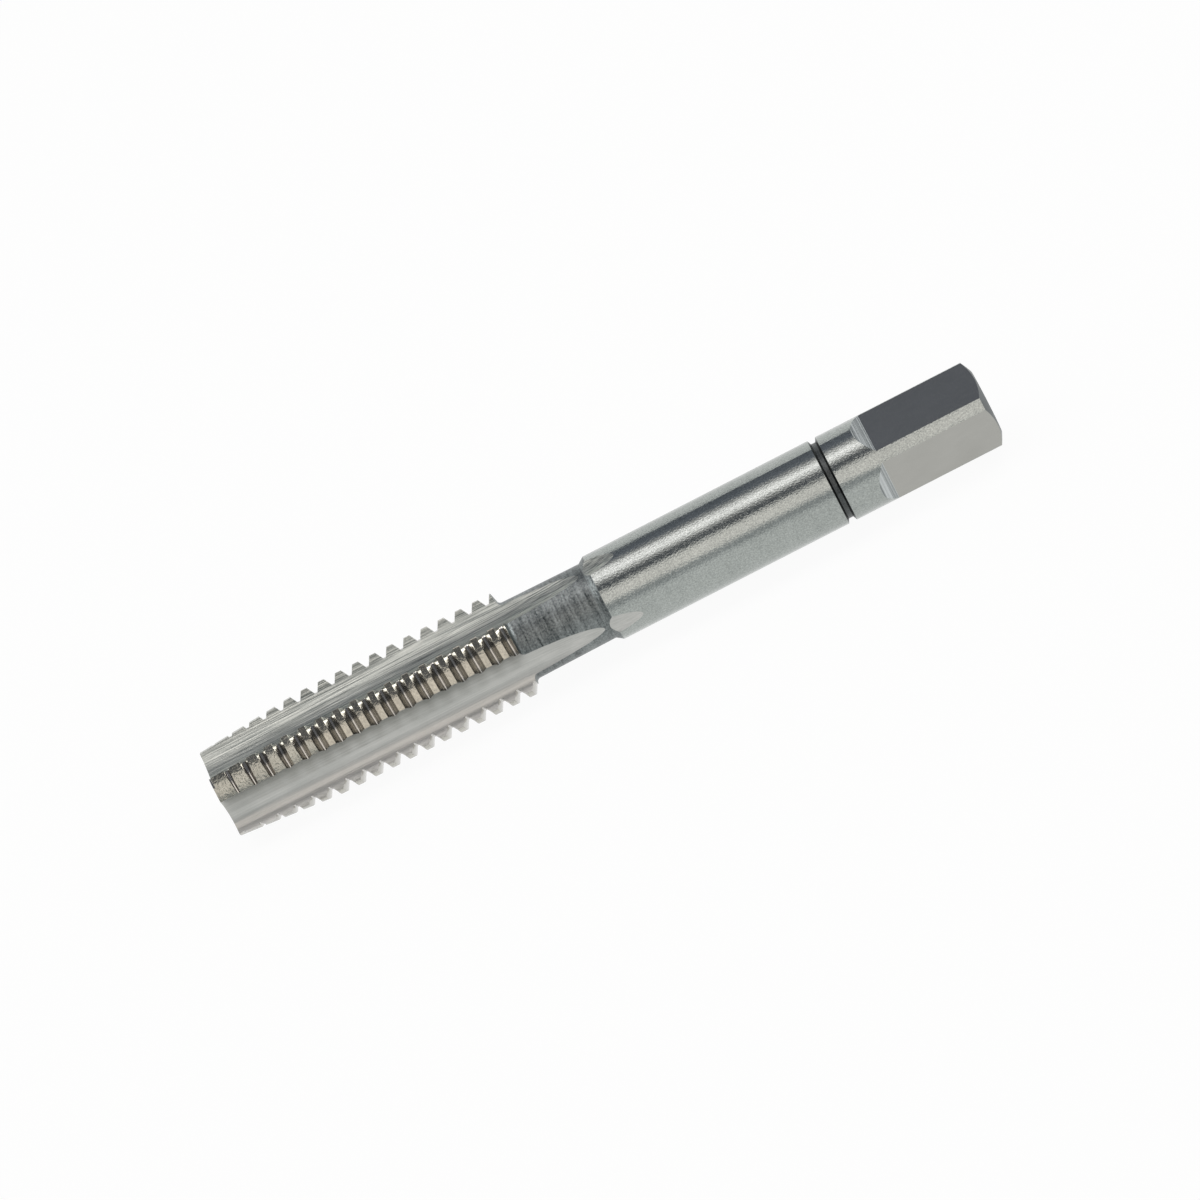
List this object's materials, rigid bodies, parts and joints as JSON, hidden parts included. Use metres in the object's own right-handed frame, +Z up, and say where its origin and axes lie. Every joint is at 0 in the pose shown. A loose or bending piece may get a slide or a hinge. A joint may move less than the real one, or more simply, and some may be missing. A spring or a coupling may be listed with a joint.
{
  "type": "thread tap",
  "caption": "Straight-fluted hand tap for cutting an internal thread, with a tapered lead, necked shank, ring mark and square drive end.",
  "frame": {"origin": "centre of the bounding box, on the surface that the tap lies on", "axes": "+X along the tool from the cutting tip to the driving square, +Y to the back, +Z up, with one flute facing up and one facing down"},
  "size_m": [0.0558, 0.0064, 0.0064],
  "materials": {
    "ground_steel": "satin"
  },
  "bodies": {
    "root": {"hand_tap": "ground_steel"}
  },
  "joints": []
}
